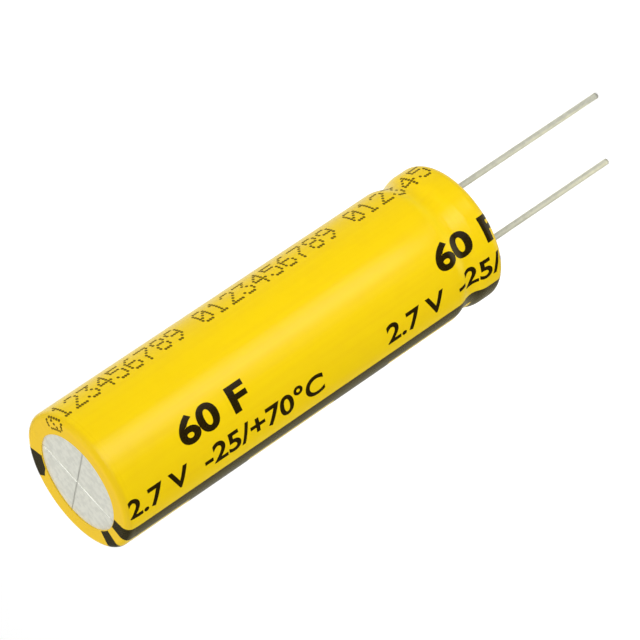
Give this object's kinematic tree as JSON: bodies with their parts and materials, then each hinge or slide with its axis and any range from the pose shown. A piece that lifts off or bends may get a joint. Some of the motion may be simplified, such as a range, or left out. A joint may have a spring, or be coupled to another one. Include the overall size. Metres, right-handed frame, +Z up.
{
  "type": "supercapacitor",
  "caption": "Radial supercapacitor: a sleeved aluminium can with a scored vent base, a rolled neck and a rubber end seal that carries a long positive and a short negative lead.",
  "frame": {"origin": "centre of the face that sits on the circuit board, midway between the leads", "axes": "+Z up the can to its vented base, the leads pointing down -Z, +X from the negative to the positive lead"},
  "size_m": [0.0184, 0.0184, 0.087],
  "materials": {
    "sleeve_film": "glossy heat-shrink film",
    "print_ink": "black ink printed on the film",
    "can_metal": "drawn, satin",
    "seal_rubber": "moulded, matt",
    "winding": "wound carbon-coated foil and separator paper",
    "tape": "amber film",
    "tab_metal": "pressed",
    "tinned_wire": "dull tin"
  },
  "bodies": {
    "root": {"sleeve": "sleeve_film", "can": "can_metal", "end_seal": "seal_rubber", "wound_element": "winding", "closing_tape": "tape", "positive_tab": "tab_metal", "negative_tab": "tab_metal", "positive_lead": "tinned_wire", "negative_lead": "tinned_wire"}
  },
  "joints": []
}
